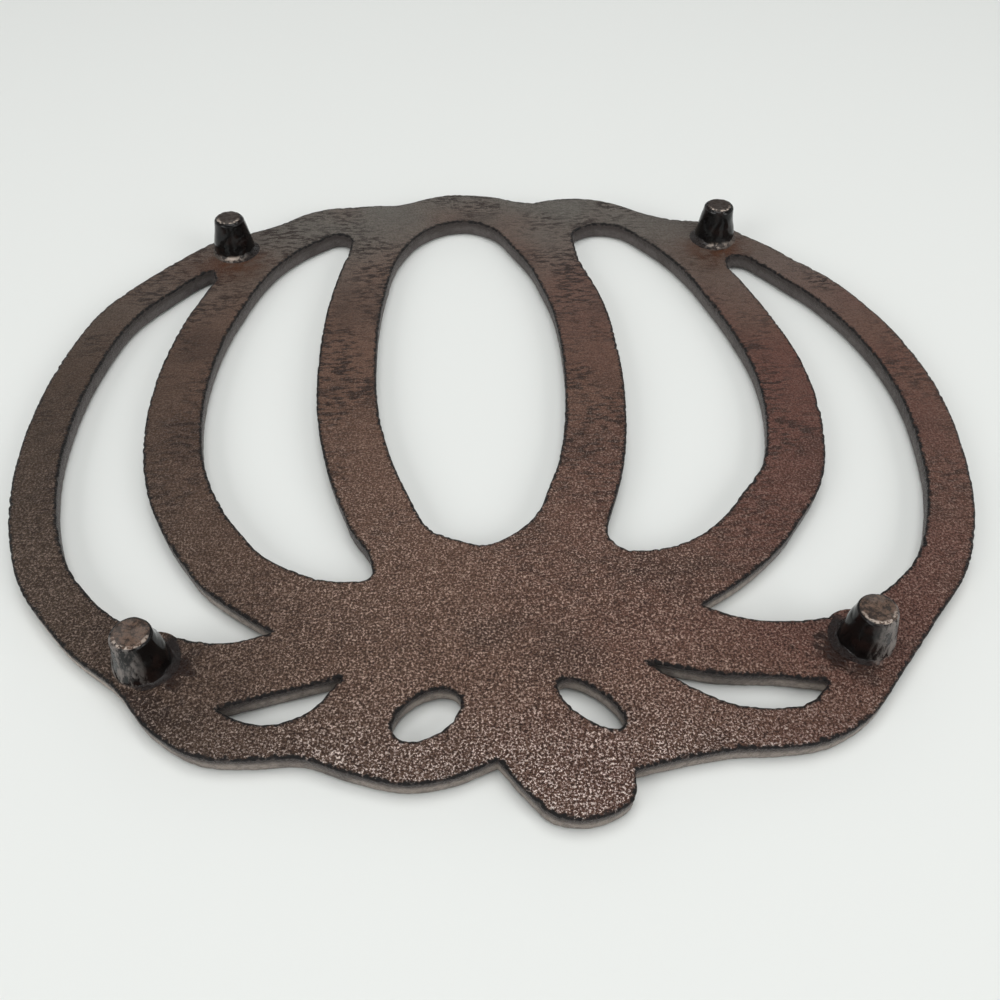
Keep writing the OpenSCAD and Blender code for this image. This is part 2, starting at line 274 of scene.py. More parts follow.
arris_insets = np.array(ARRIS_SHARES) * ARRIS_R
arris_drops = ARRIS_R - np.sqrt(ARRIS_R ** 2 - (ARRIS_R - arris_insets) ** 2)
wall_drops = np.arange(ARRIS_R + WALL_STEP, plate_top - POT_EDGE_R - WALL_STEP / 2, WALL_STEP)
edge_angles = np.radians(np.arange(0, 91, POT_EDGE_TURN_DEG))
draft_gap = (plate_top - POT_EDGE_R) * np.tan(np.radians(DRAFT_DEG))
row_insets = np.concatenate([
    arris_insets, wall_drops * np.tan(np.radians(DRAFT_DEG)),
    draft_gap + POT_EDGE_R * (1 - np.cos(edge_angles))])
row_heights = np.concatenate([
    plate_top - arris_drops, plate_top - wall_drops, POT_EDGE_R * (1 - np.sin(edge_angles))])


def wall_rows():
    """For every row of the wall, each outline point moved into the metal by the row's inset
    and by how ragged the wall is there. Crumbs and chips bite into the arris, by an amount
    that drifts along the outline, and fade down the wall. A fine roughness stays below."""
    rows = []
    crumbs = waves(outline_points, *CRUMBS)
    chips_and_highlight = np.clip(waves(outline_points, *CHIPS) - 0.8, 0, 1.5)
    mood = np.clip(0.7 + 0.4 * waves(outline_points, *MOOD), 0.15, 1.5)
    bite = mood * (np.clip(0.3 + 0.45 * crumbs, 0, 1.4) + 0.7 * chips_and_highlight)
    for inset, height in zip(row_insets, row_heights):
        fade = np.exp(-(plate_top - height) / RAGGED_DEPTH)
        spots = np.column_stack([outline_points, np.full(len(outline_points), height)])
        rough = np.clip(1 + waves(spots, *SAND), 0, 2.5) * WALL_ROUGH
        loss = SKIN_LOSS + inset + RAGGED * bite * fade + rough
        rows.append(outline_points + outline_ways * loss[:, None])
    return np.array(rows)


outline_rows = wall_rows()
print("wall rows", len(row_heights), "from", round(row_heights[0] / MM, 2), "to", row_heights[-1])

# %% [markdown]
# ## The cast skin
# The underside of a sand casting is pebbly: grains of about a millimetre, on top of a slow
# swell. In the photograph the grain is coarsest near the stem and finer on the rim. The skin
# drops away over the last fraction of a millimetre before the arris.

# %% Height of the underside
GRAIN = 0.034 * MM
SWELL = 0.028 * MM
SKIN_REACH = 2.5 * MM
SLICE = 3000
PEBBLES = (0.85 * MM, 1.35 * MM, 21, 64)  # the last number is how many waves
SWELLS = (9 * MM, 40 * MM, 22)
PEBBLE_POWER = 0.8
RIM_COARSENESS = 0.35
stem_end, rim_end = cad_low.y, cad_high.y


def slices(count):
    """The numbers below count in a few thousand at a time, so that big tables fit in memory."""
    return np.array_split(np.arange(count), max(1, count // SLICE))


def nearest(points, others):
    """Distance from each point to the closest of the others, worked out in slices, and no more
    than the reach of the skin."""
    found = np.full(len(points), SKIN_REACH)
    for part in slices(len(points)):
        gap = points[part][:, None, :] - others[None, :, :]
        if gap.size:
            found[part] = np.minimum(np.sqrt((gap ** 2).sum(2).min(1)), SKIN_REACH)
    return found


def coarseness(points):
    """1 at the stem's end, falling smoothly to about a third at the far rim."""
    share = (rim_end - points[:, 1]) / (rim_end - stem_end)
    return RIM_COARSENESS + (1 - RIM_COARSENESS) * np.clip(share, 0, 1) ** 1.5


def grain_height(points):
    """Pebbles with steeper sides than a plain wave has, up and down by the size of the grain."""
    pebbles = waves(points, *PEBBLES)
    return GRAIN * np.sign(pebbles) * np.abs(pebbles) ** PEBBLE_POWER


def skin_height(points, edge_distance):
    """Top of the plate, plus swell and grain, less the rounding near the arris."""
    depth = np.clip(ARRIS_R - edge_distance, 0, ARRIS_R)
    drop = ARRIS_R - np.sqrt(ARRIS_R ** 2 - depth ** 2)
    fade = np.clip(edge_distance / (2 * ARRIS_R), 0, 1)
    uneven = coarseness(points) * grain_height(points) + SWELL * waves(points, *SWELLS)
    return plate_top - drop + fade * uneven


print("rim to stem", round((rim_end - stem_end) / MM, 1), "mm")

# %% [markdown]
# ## One piece of casting
# Each node of the plate gets one closed skin. Its border follows the fine outline, and crosses
# straight from rib to rim at a joint. Neighbours work out the same points there, so no seam
# shows. The flat sides are filled with triangles between the border and an even field of
# points, and the walls are strips between the rows.

# %% Border of a piece
def piece_border(node):
    """The piece's border, as loops of columns. A column on the free outline is one fine point.
    A column on a joint lies between two fine points, by a share. Returns for each loop the two
    fine points and the share of each column."""
    edges = node_edges[node]
    free = set(map(tuple, free_edges.tolist()))
    border = []
    for loop in all_loops(edges):
        ids = loop.tolist()
        first, second, share = [], [], []
        for start, end in zip(ids, ids[1:] + ids[:1]):
            if (start, end) in free:
                run = np.arange(fine_start[start], fine_next[start])
                first.append(run)
                second.append(run)
                share.append(np.zeros(len(run)))
            else:
                low, high = min(start, end), max(start, end)
                span = np.linalg.norm(edge_places[high] - edge_places[low])
                parts = int(np.ceil(span / FINE))
                steps = np.arange(parts) / parts
                steps = steps if start == low else 1 - steps
                first.append(np.full(parts, fine_start[low]))
                second.append(np.full(parts, fine_start[high]))
                share.append(steps)
        border.append((np.concatenate(first), np.concatenate(second), np.concatenate(share)))
    return border


def border_row(border, rows, row):
    """Places of all the border's columns in one row of the wall."""
    return np.concatenate([
        rows[row][a] * (1 - s)[:, None] + rows[row][b] * s[:, None] for a, b, s in border])


print("columns of the crown", sum(len(a) for a, _, _ in piece_border("leaf_crown")))

# %% Fill a flat side with triangles
FIELD_CLEARANCE = 0.6  # of the spacing, between the field and the border
MERGE_MM = 1e-7


def hex_field(low, high, spacing):
    """Points of a honeycomb over a rectangle. The field is the same for every piece."""
    rise = spacing * np.sqrt(3) / 2
    i = np.arange(np.floor(low[0] / spacing) - 1, np.ceil(high[0] / spacing) + 1)
    j = np.arange(np.floor(low[1] / rise), np.ceil(high[1] / rise) + 1)
    across, up = np.meshgrid(i, j)
    return np.column_stack([((across + 0.5 * (up % 2)) * spacing).ravel(), (up * rise).ravel()])


def inside(points, loops):
    """Whether each point is inside the loops: a line from it to the right crosses them an odd
    number of times."""
    start = np.concatenate(loops)
    end = np.concatenate([np.roll(loop, -1, 0) for loop in loops])
    odd = np.zeros(len(points), bool)
    rise = np.where(end[:, 1] == start[:, 1], 1.0, end[:, 1] - start[:, 1])
    for part in slices(len(points)):
        x, y = points[part][:, 0][:, None], points[part][:, 1][:, None]
        crosses = (start[:, 1] > y) != (end[:, 1] > y)
        meets = start[:, 0] + (y - start[:, 1]) / rise * (end[:, 0] - start[:, 0])
        odd[part] = (crosses & (x < meets)).sum(1) % 2 == 1
    return odd


def filled(border_points, sizes, spacing):
    """Triangles between a border and a honeycomb of points inside it. Returns the points added
    and the triangles, numbered with the border first."""
    ends = np.cumsum(sizes)
    loops = np.split(border_points, ends[:-1])
    field = hex_field(border_points.min(0), border_points.max(0), spacing)
    field = field[inside(field, loops)]
    field = field[nearest(field, border_points) > FIELD_CLEARANCE * spacing]
    points = np.concatenate([border_points, field])
    columns = np.split(np.arange(ends[-1]), ends[:-1])
    after = np.concatenate([np.roll(run, -1) for run in columns])
    constraints = np.column_stack([np.arange(ends[-1]), after]).tolist()
    flat_places = [Vector(place) for place in points / MM]
    made = delaunay_2d_cdt(flat_places, constraints, [], 0, MERGE_MM, True)
    origin = np.array([old[0] if old else -1 for old in made[3]])
    if (origin < 0).any() or len(origin) != len(points):
        raise ValueError("the border crosses itself")
    triangles = origin[np.array(made[2])]
    outer = (triangles < ends[-1]).all(1)
    keep = ~outer
    keep[outer] = inside(points[triangles[outer]].mean(1), loops)
    triangles = triangles[keep]
    a, b, c = (points[triangles[:, k]] for k in range(3))
    turned = np.cross(b - a, c - a) < 0
    triangles[turned] = triangles[turned][:, ::-1]
    return field, triangles


print("field points on a square centimetre", len(hex_field((0, 0), (0.01, 0.01), FINE)))

# %% [markdown]
# ## From points to a mesh
# A mesh is filled in one go, from whole arrays. Marks are stored at each point for the finish
# to read, such as how near the arris is.

# %% Build a mesh object
SHARP_DEG = 62


def new_piece(name, places, faces, marks, seam=None):
    """A mesh object from places and triangles, smooth but for edges that turn sharply or join
    two points of the seam, with a named number per point for each entry of marks."""
    mesh = bpy.data.meshes.new(name)
    mesh.vertices.add(len(places))
    mesh.vertices.foreach_set("co", places.astype(np.float32).ravel())
    mesh.loops.add(faces.size)
    mesh.loops.foreach_set("vertex_index", faces.astype(np.int32).ravel())
    mesh.polygons.add(len(faces))
    mesh.polygons.foreach_set("loop_start", np.arange(0, faces.size, 3, dtype=np.int32))
    mesh.update(calc_edges=True)
    mesh.validate()
    mesh.polygons.foreach_set("use_smooth", np.ones(len(mesh.polygons), bool))
    mesh.set_sharp_from_angle(angle=np.radians(SHARP_DEG))
    if seam is not None:
        edge_ends = np.zeros(len(mesh.edges) * 2, np.int32)
        mesh.edges.foreach_get("vertices", edge_ends)
        sharp = np.zeros(len(mesh.edges), bool)
        mesh.attributes["sharp_edge"].data.foreach_get("value", sharp)
        sharp |= seam[edge_ends.reshape(-1, 2)].all(1)
        mesh.attributes["sharp_edge"].data.foreach_set("value", sharp)
    for mark, values in marks.items():
        layer = mesh.attributes.new(mark, "FLOAT", "POINT")
        layer.data.foreach_set("value", values.astype(np.float32))
    piece = bpy.data.objects.new(name, mesh)
    bpy.context.scene.collection.objects.link(piece)
    return piece


print("edges that turn by more than", SHARP_DEG, "degrees stay sharp")

# %% [markdown]
# ## Rust, and pools with painted shadow
# Two marks of the plate depend on the feet. The skin in front of the far feet is rusty, and
# beside the near ones pooled coat and a painted shadow of the feet lie black. Both are worked
# out from a point's place alone, so neighbouring pieces agree along their joint.

# %% Where the skin is rusty, and where pooled coat and painted shadow are black
FAR_FEET = [name for name in FOOT_NODES if "far" in name]
ROOT_R = 6 * MM
RUST_REACH = 8 * MM
RUST_BEHIND = 0.12
# A spot of pooled coat and painted shadow in each row: the place of its middle and its reach
# in mm, and its strength.
POOLS_AND_SHADOWS_MM = np.array([
    [-60.0, -61.3, 4.0, 1.0], [-67.5, -71.0, 7.5, 0.80],
    [59.2, -63.0, 4.2, 1.0], [62.5, -67.0, 3.2, 0.80]])
POOL_AND_SHADOW_RIM = (1.5 * MM, 5 * MM, 41)
POOL_AND_SHADOW_RAGGED = 0.22


def foot_middles(nodes):
    """Middle of each foot in plan."""
    corners = [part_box(node) for node in nodes]
    return np.array([[(low.x + high.x) / 2, (low.y + high.y) / 2] for low, high in corners])


def rust_near_feet(places):
    """1 at the root of a far foot on the stem's side, much less on the other sides, and fading
    away from the root as a bell curve."""
    gap = places[:, None, :2] - foot_middles(FAR_FEET)[None, :, :]
    distance = np.linalg.norm(gap, axis=2)
    towards_stem = np.clip(-gap[:, :, 1] / np.maximum(distance, MICRON), 0, 1) ** 0.8
    ring = np.exp(-np.clip(distance - ROOT_R, 0, None) ** 2 / RUST_REACH ** 2)
    return (ring * (RUST_BEHIND + (1 - RUST_BEHIND) * towards_stem)).max(1)


def pooled_coat(places):
    """How black the skin is beside the near feet, from pooled coat and a painted shadow: round
    spots with a ragged rim, each from the middle, reach and strength of a row of the table."""
    x, y, reach, strength = POOLS_AND_SHADOWS_MM.T
    ragged = 1 + POOL_AND_SHADOW_RAGGED * waves(places[:, :2], *POOL_AND_SHADOW_RIM)
    distance = np.hypot(places[:, :1] / MM - x, places[:, 1:2] / MM - y) * ragged[:, None]
    return (strength * np.exp(-(distance / reach) ** 4)).max(1)


print("feet at", np.round(foot_middles(FOOT_NODES) / MM, 1).tolist())

# %% [markdown]
# ## The nine pieces of the plate
# Now the underside is filled and lifted to the skin's height, and joined to the wall rows. The
# pot face closes each piece. It is hidden in the photograph and taken to be plain and flat.

# %% Make the nine pieces of the plate
BOTTOM_STEP = 1.3 * MM
BOTTOM_SWELL = 0.03 * MM
BOTTOM_WAVES = (3 * MM, 9 * MM, 31)


def wall_faces(starts, count, after):
    """Two triangles between each column and the next, for every pair of neighbouring rows."""
    first, faces = np.arange(count), []
    for upper, lower in zip(starts[:-1], starts[1:]):
        faces.append(np.column_stack([upper + first, lower + first, lower + after]))
        faces.append(np.column_stack([upper + first, lower + after, upper + after]))
    return faces


def plate_marks(places, starts, count, to_arris):
    """Distance from the arris in mm, along the skin or down the wall, whether a point is on
    the wall or pot face, and how coarse and rusty the skin is, and how black with pooled coat
    and painted shadow."""
    top_count = len(to_arris)
    edge = np.full(len(places), SKIN_REACH)
    edge[:top_count] = to_arris
    for start, height in zip(starts[1:], row_heights[1:]):
        edge[start:start + count] = plate_top - height
    side = (np.arange(len(places)) >= top_count).astype(float)
    return {
        "edge_mm": edge / MM, "side": side, "coarse": coarseness(places),
        "rust": rust_near_feet(places) * (1 - side), "pool": pooled_coat(places) * (1 - side)}


def plate_piece(node):
    """Underside, wall rows and pot face of one node as a closed mesh."""
    border = piece_border(node)
    sizes = [len(a) for a, _, _ in border]
    count, rows = sum(sizes), len(row_heights)
    rings = [border_row(border, outline_rows, row) for row in range(rows)]
    near = np.concatenate([rings[0].min(0) - SKIN_REACH, rings[0].max(0) + SKIN_REACH])
    arris = outline_rows[0]
    arris = arris[((arris > near[:2]) & (arris < near[2:])).all(1)]

    field, top_faces = filled(rings[0], sizes, FINE)
    top_plan = np.concatenate([rings[0], field])
    to_arris = nearest(top_plan, arris)
    on_free = np.concatenate([a == b for a, b, _ in border])
    to_arris[:count][on_free] = 0
    top = np.column_stack([top_plan, skin_height(top_plan, to_arris + arris_insets[0])])

    walls = [np.column_stack([rings[r], np.full(count, row_heights[r])]) for r in range(1, rows)]
    bottom_field, bottom_faces = filled(rings[-1], sizes, BOTTOM_STEP)
    swell = np.clip(1 + waves(bottom_field, *BOTTOM_WAVES), 0, 2) * BOTTOM_SWELL
    places = np.concatenate([top, *walls, np.column_stack([bottom_field, swell])])

    columns = np.split(np.arange(count), np.cumsum(sizes)[:-1])
    after = np.concatenate([np.roll(run, -1) for run in columns])
    starts = np.concatenate([[0], len(top) + count * np.arange(rows - 1)])
    bottom_base = len(top) + count * (rows - 1)
    on_ring = bottom_faces < count
    numbers = bottom_faces + np.where(on_ring, starts[-1], bottom_base - count)
    faces = np.concatenate([top_faces, *wall_faces(starts, count, after), numbers[:, ::-1]])

    on_joint = ~on_free
    seam = np.zeros(len(places), bool)
    for start in starts:
        seam[start:start + count] = on_joint | on_joint[np.argsort(after)]
    marks = plate_marks(places, starts, count, to_arris)
    return new_piece(node + "_casting", places, faces, marks, seam)


castings = {}
for node in PLATE_NODES:
    castings[node] = plate_piece(node)
    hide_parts(node)
    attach(castings[node], "root")
print("triangles", {node: len(piece.data.polygons) for node, piece in castings.items()})

# %% [markdown]
# ## The feet
# A foot is a tapered stub with a flat, slightly worn tip. It is a surface of revolution: a
# profile turned round an axis. The far tips are rounder than the near ones. The root goes a
# little way into the plate, so that no gap shows between the two grains.

# %% Profile of a foot
FOOT_BASE_R = 5.1 * MM
FOOT_TIP_R = 3.75 * MM
FOOT_FILLET_R = 1 * MM
NEAR_TIP_ROUND = 0.55 * MM
FAR_TIP_ROUND = 0.9 * MM
ROOT_DEPTH = 0.35 * MM
FOOT_ROW_STEP = 0.25 * MM


def foot_profile(height, tip_round):
    """Radius and height above the plate, from under the root over the tip's edge almost to
    its middle."""
    a = np.radians(np.arange(90, -1, -10))
    fillet_r = FOOT_BASE_R + FOOT_FILLET_R * (1 - np.cos(a))
    fillet_z = FOOT_FILLET_R * (1 - np.sin(a))
    side_low, side_high = FOOT_FILLET_R, height - tip_round
    z = np.arange(side_low + FOOT_ROW_STEP, side_high, FOOT_ROW_STEP)
    r = FOOT_BASE_R + (FOOT_TIP_R - FOOT_BASE_R) * (z - side_low) / (side_high - side_low)
    b = np.radians(np.arange(0, 91, 11.25))
    tip_r = FOOT_TIP_R - tip_round * (1 - np.cos(b))
    tip_z = height - tip_round * (1 - np.sin(b))
    face_r = tip_r[-1] * np.arange(0.93, 0.05, -0.07)
    radius = np.concatenate([[fillet_r[0] * 0.5, fillet_r[0]], fillet_r, r, tip_r, face_r])
    face_z = np.full(len(face_r), height)
    up = np.concatenate([[-ROOT_DEPTH, -ROOT_DEPTH], fillet_z, z, tip_z, face_z])
    return radius, up


print("rows of a profile", len(foot_profile(cad_high.z - plate_top, FAR_TIP_ROUND)[0]))

# %% [markdown]
# ## Turning the profile
# On the real casting the root flares widest towards the middle of the plate, and carries the
# same grain as the plate. The sides are not quite round, and the tip has shallow pits.

# %% Turn the profile round its axis
INNER_FILLET_GROWTH = 1.3
OUTER_FILLET_LOSS = 0.35
FOOT_COLUMNS = 160
ROOT_GRAIN_HEIGHT = 1.2 * MM
ROOT_SINK = 0.05 * MM
ROOT_SINK_HEIGHT = 0.3 * MM
SIDE_SWELL = 0.08 * MM
SIDE_GRAIN = 0.006 * MM
PIT_DEPTH = 0.05 * MM
POLE_SINK = 0.03 * MM
# Shortest and longest waves. The seed is the foot's own.
SIDE_SWELLS = (4 * MM, 12 * MM)
SIDE_GRAINS = (0.9 * MM, 2 * MM)
PITS = (0.7 * MM, 1.6 * MM)


def foot_places(middle, height, tip_round, seed):
    """The profile on a grid of angles, uneven by about a tenth of a millimetre, with the
    plate's grain at the root and shallow pits in the tip. A pole closes each end. Returns the
    places and the shape of the grid."""
    radius, up = foot_profile(height, tip_round)
    angle = np.arange(FOOT_COLUMNS) * 2 * np.pi / FOOT_COLUMNS
    grid_r, grid_a = np.meshgrid(radius, angle, indexing="ij")
    grid_z = np.broadcast_to(up[:, None], grid_r.shape)
    towards = np.cos(grid_a - np.arctan2(-middle[1], -middle[0]))
    wider = np.where(towards > 0, INNER_FILLET_GROWTH * towards, OUTER_FILLET_LOSS * towards)
    grid_r = grid_r + np.clip(grid_r - FOOT_BASE_R, 0, None) * wider
    x, y = grid_r * np.cos(grid_a), grid_r * np.sin(grid_a)
    spots = np.column_stack([x.ravel(), y.ravel(), grid_z.ravel()])
    uneven = SIDE_SWELL * np.clip(waves(spots, *SIDE_SWELLS, seed), -1.5, 1.5)
    uneven = (uneven + SIDE_GRAIN * waves(spots, *SIDE_GRAINS, seed + 1)).reshape(grid_r.shape)
    on_side = np.clip((grid_z - FOOT_FILLET_R * 0.3) / FOOT_FILLET_R, 0, 1)
    shrink = 1 + uneven * on_side / FOOT_TIP_R
    at_tip = np.clip((grid_z - height + tip_round) / tip_round, 0, 1)
    pits = np.clip(0.6 + waves(spots, *PITS, seed + 2).reshape(grid_r.shape), 0, 2)
    plan = np.column_stack([(middle[0] + x * shrink).ravel(), (middle[1] + y * shrink).ravel()])
    at_root = np.clip(1 - grid_z / ROOT_GRAIN_HEIGHT, 0, 1)
    skin = (skin_height(plan, np.full(len(plan), SKIN_REACH)) - plate_top).reshape(grid_r.shape)
    sunk = ROOT_SINK * np.clip(1 - grid_z / ROOT_SINK_HEIGHT, 0, 1)
    z = plate_top + grid_z + at_root * skin - sunk - at_tip * PIT_DEPTH * pits
    poles = [[*middle, plate_top - ROOT_DEPTH], [*middle, plate_top + height - POLE_SINK]]
    return np.concatenate([np.column_stack([plan, z.ravel()]), poles]), grid_r.shape


def turned_faces(rows, columns):
    """Two triangles for each cell of the grid, and a fan from each pole to its end row."""
    i, j = np.meshgrid(np.arange(rows - 1), np.arange(columns), indexing="ij")
    a, b = (i * columns + j).ravel(), (i * columns + (j + 1) % columns).ravel()
    c, d = a + columns, b + columns
    j = np.arange(columns)
    following = (j + 1) % columns
    root_pole, tip_pole, last = rows * columns, rows * columns + 1, (rows - 1) * columns
    return np.concatenate([
        np.column_stack([a, b, d]), np.column_stack([a, d, c]),
        np.column_stack([np.full(columns, root_pole), following, j]),
        np.column_stack([np.full(columns, tip_pole), last + j, last + following])])


print("triangles of one ring and two poles", len(turned_faces(2, FOOT_COLUMNS)))

# %% [markdown]
# ## Marks of a foot
# The finish needs to know where on a foot it is: how high up, on the tip or at its near edge
# with pale chips and a painted highlight, at a far foot's painted highlight arc, on the inner
# side, darkened by pooled coat and painted shade, and on the outer side, greyed by worn coat
# and painted light, as seen on each near foot.

# %% Mark the places of a foot
TIP_ZONE_MM = 0.3
TIP_FADE = 0.15 * MM
EDGE_BAND_WIDTH = 0.65 * MM
EDGE_BAND_FADE = 0.25 * MM
ARC_HEIGHT_MM = 0.55
ARC_WIDTH_MM = 0.45
# Which way the inner side of each near foot faces, darkened by pooled coat and painted shade, and
# which way its outer side faces, greyed by worn coat and painted light.
POOL_AND_SHADE_WAYS = {"foot_near_left": (1, -0.3), "foot_near_right": (-1, -0.3)}
WORN_AND_LIT_WAYS = {"foot_near_left": (-1, -0.92), "foot_near_right": (1, -0.58)}


def facing(from_middle, way):
    """Cosine of the angle between each point's direction from the foot's axis and a way."""
    radial = np.maximum(np.linalg.norm(from_middle, axis=1), MICRON)
    return from_middle @ np.array(way) / radial / np.linalg.norm(way)


def foot_marks(node, places, middle, height, tip_round):
    """Height above the plate in mm, the flat tip, the pale chips and painted highlight along its
    near edge, the painted highlight arc in front of a far foot's root, the inner side, darkened
    by pooled coat and painted shade, and the outer side, greyed by worn coat and painted light."""
    height_mm = np.clip((places[:, 2] - plate_top) / MM, 0, None)
    from_middle = places[:, :2] - middle
    radial = np.linalg.norm(from_middle, axis=1)
    face_r = FOOT_TIP_R - tip_round
    inside_tip = np.clip((face_r + TIP_FADE - radial) / TIP_FADE, 0, 1)
    on_tip = (height_mm > height / MM - TIP_ZONE_MM) * inside_tip
    # The near edge of a tip gets pale chips and a painted highlight.
    near_side = np.clip(-from_middle[:, 1] / np.maximum(radial, MICRON), 0, 1)
    at_edge = np.clip((radial - face_r + EDGE_BAND_WIDTH) / EDGE_BAND_FADE, 0, 1)
    # Painted highlight on the fillet in front of a far foot's root.
    arc = near_side ** 8 * np.exp(-((height_mm - ARC_HEIGHT_MM) / ARC_WIDTH_MM) ** 2)
    # Inner side: pooled coat and painted shade.
    to_pool = facing(from_middle, POOL_AND_SHADE_WAYS.get(node, -middle))
    # Outer side: worn coat and painted light.
    to_worn_and_lit = facing(from_middle, WORN_AND_LIT_WAYS.get(node, middle))
    return {
        "height_mm": height_mm, "tip": on_tip, "chipped": near_side ** 0.5 * on_tip * at_edge,
        "arc": arc * (node in FAR_FEET), "inner": np.clip(to_pool * 1.4, 0, 1),
        "outer": np.clip(to_worn_and_lit * 1.6 - 0.3, 0, 1), "coarse": coarseness(places)}


print("pools seen on", sorted(POOL_AND_SHADE_WAYS))

# %% Make the four feet
FIRST_SEED, SEED_STEP = 100, 10


def foot_piece(node, seed):
    """One foot as a closed mesh, with its marks."""
    low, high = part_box(node)
    middle = np.array([(low.x + high.x) / 2, (low.y + high.y) / 2])
    height = high.z - plate_top
    tip_round = FAR_TIP_ROUND if node in FAR_FEET else NEAR_TIP_ROUND
    places, grid_shape = foot_places(middle, height, tip_round, seed)
    marks = foot_marks(node, places, middle, height, tip_round)
    return new_piece(node + "_casting", places, turned_faces(*grid_shape), marks)


feet = {}
for number, node in enumerate(FOOT_NODES):
    feet[node] = foot_piece(node, FIRST_SEED + SEED_STEP * number)
    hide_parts(node)
    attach(feet[node], "root")
print("triangles of a foot", len(feet[FOOT_NODES[0]].data.polygons))

# %% [markdown]
# ## Building a finish from nodes
# A procedural finish is a small network of nodes. These helpers keep each step to one line, so
# that a material reads as a recipe: where on the object, which pattern, and what it changes.
# The step used most is `between`. It turns a value into a share that goes smoothly from 0 to 1
# while the value goes from a low limit to a high one, or from one given result to another.

# %% Arithmetic in any node tree
class Nodes:
    """Short calls for the nodes of one tree. What goes in is a socket or a number."""

    def __init__(self, tree):
        self.nodes, self.links = tree.nodes, tree.links

    def link(self, source, target):
        """Joins a socket to a socket, or writes a number into it."""
        if isinstance(source, bpy.types.NodeSocket):
            self.links.new(source, target)
        else:
            target.default_value = source

    def fill(self, node, inputs):
        """Gives each named input of a node its socket or number."""
        for name, given in inputs.items():
            self.link(given, node.inputs[name])
        return node

    def node(self, kind, inputs, **settings):
        """A new node with its settings made and its inputs filled."""
        made = self.nodes.new("ShaderNode" + kind)
        for name, given in settings.items():
            setattr(made, name, given)
        return self.fill(made, inputs)

    def between(self, value, low, high, to_low=0.0, to_high=1.0):
        """The smooth way from one result to another while the value goes from low to high."""
        inputs = {
            "Value": value, "From Min": low, "From Max": high, "To Min": to_low, "To Max": to_high}
        return self.node("MapRange", inputs, interpolation_type="SMOOTHSTEP").outputs["Result"]

    def maths(self, kind, a, b=0.0):
        """One step of arithmetic."""
        return self.node("Math", {0: a, 1: b}, operation=kind).outputs["Value"]

    def plus(self, a, b):
        """a + b."""
        return self.maths("ADD", a, b)

    def times(self, a, b):
        """a times b."""
        return self.maths("MULTIPLY", a, b)

    def most(self, a, b):
        """The larger of a and b."""
        return self.maths("MAXIMUM", a, b)


print("calls of a tree", [name for name in vars(Nodes) if not name.startswith("_")])

# %% Patterns, colours and relief of a material
class Finish(Nodes):
    """A material with its shader. Patterns are laid out in metres on the object."""

    def __init__(self, name):
        self.material = bpy.data.materials.new(name)
        self.material.use_nodes = True
        super().__init__(self.material.node_tree)
        self.shader = self.nodes["Principled BSDF"]
        self.place = self.node("TexCoord", {}).outputs["Object"]

    def stretched(self, scale):
        """The place times a scale along each axis."""
        return self.node("Mapping", {"Vector": self.place, "Scale": scale}).outputs["Vector"]

    def noise(self, scale, detail=3, rough=0.55, where=None):
        """Smooth noise round a half, with so many swings per metre."""
        place = where or self.place
        inputs = {"Vector": place, "Scale": scale, "Detail": detail, "Roughness": rough}
        return self.node("TexNoise", inputs).outputs["Fac"]

    def axis(self, letter):
        """The place along one axis, in metres."""
        return self.node("SeparateXYZ", {"Vector": self.place}).outputs[letter]

    def mark(self, name):
        """A mark of the mesh, or 0 where the mesh has none of that name."""
        return self.node("Attribute", {}, attribute_name=name).outputs["Fac"]

    def mix(self, share, a, b):
        """Colour a, going over to colour b by the share."""
        a, b = ((*side, 1.0) if isinstance(side, tuple) else side for side in (a, b))
        inputs = {"Factor": share, "A": a, "B": b}
        return self.node("Mix", inputs, data_type="RGBA").outputs["Result"]

    def bump(self, height, distance, strength=1.0, over=None):
        """A relief of the height, as tall as the distance, on top of another relief."""
        inputs = {"Height": height, "Distance": distance, "Strength": strength}
        if over:
            inputs["Normal"] = over
        return self.node("Bump", inputs).outputs["Normal"]


print("calls of a material", [name for name in vars(Finish) if not name.startswith("_")])

# %% [markdown]
# ## Brown coat on rough iron
# The coat is a dark, warm brown. The hollows between the grains are painted almost black, a
# painted shade. On the tops of the grains it has worn through, and their pale colour is bare
# iron with painted glints: most near the stem, and further off the tops are browner. The colour
# drifts from a greyer brown at the far rim, a painted sheen, to a redder one on the right ribs
# and an olive one on the left. Fine dark streaks cross the ribs, the skin in front of the far
# feet is rusty, beside the near feet pooled coat and a painted shadow lie black, and a thin
# black line follows the arris. The walls carry painted light and shade. The far walls are dark
# grey, lighter lower down with a painted reflection of the floor. The near ones are dark under
# the arris, pale half way down with a painted reflection of the floor, and dark again at their
# foot, a painted shadow.

# %% The coat
BROWN = (0.134, 0.071, 0.047)
# GREY_BROWN_SHEEN greys the far rim, a painted sheen.
GREY_BROWN_SHEEN = (0.126, 0.116, 0.100)
OLIVE = (0.060, 0.038, 0.025)
REDDISH = (0.124, 0.049, 0.035)
# DARK_COAT_AND_SHADE darkens patches and streaks, and is painted shade in the grain's hollows and
# painted shadow beside the near feet.
DARK_COAT_AND_SHADE = (0.012, 0.004, 0.002)
# Pale tops of the grains: bare iron, with painted glints.
BARE_BROWN_AND_GLINT = (0.71, 0.54, 0.45)
BARE_IRON_AND_GLINT = (0.88, 0.78, 0.73)


